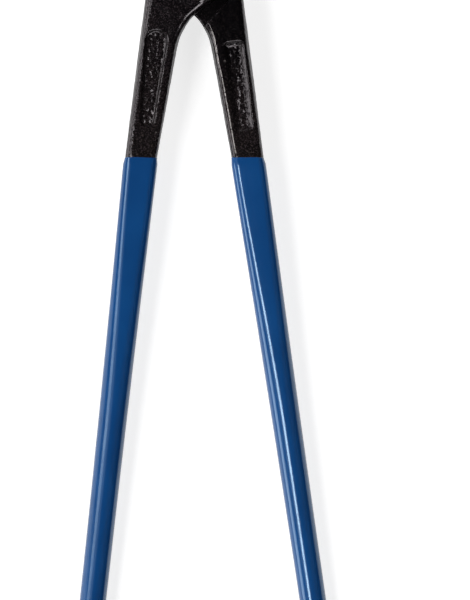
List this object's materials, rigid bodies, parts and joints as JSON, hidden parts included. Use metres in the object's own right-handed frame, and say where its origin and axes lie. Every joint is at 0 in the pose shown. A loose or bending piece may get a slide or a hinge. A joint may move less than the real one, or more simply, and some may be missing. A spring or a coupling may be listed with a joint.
{
  "type": "rebar tying pliers",
  "caption": "Long handled tower pincers for twisting and cutting tying wire: crossed forged levers on a riveted lap joint, hooked end-cutting jaws, sleeved handles.",
  "frame": {"origin": "on the pivot's axis, at the rivet's flat end in the joint's back face", "axes": "+Z along the pivot's axis towards the front face, +Y towards the jaws, -Y towards the handle ends, +X to the right seen from the front"},
  "size_m": [0.0943, 0.2998, 0.022],
  "materials": {
    "forged_steel": "black lacquer over a rough forged surface",
    "rivet_steel": "black lacquer over ground steel",
    "blue_grip": "smooth glossy soft plastic"
  },
  "bodies": {
    "front_half": {"front_lever": "forged_steel", "front_grip": "blue_grip", "pivot_rivet": "rivet_steel"},
    "rear_half": {"rear_lever": "forged_steel", "rear_grip": "blue_grip"}
  },
  "joints": [
    {"name": "pivot", "type": "hinge", "parent": "front_half", "child": "rear_half", "pos_m": [0, 0, 0.0078], "axis": [0, 0, 1], "range_deg": [0, 58]}
  ]
}
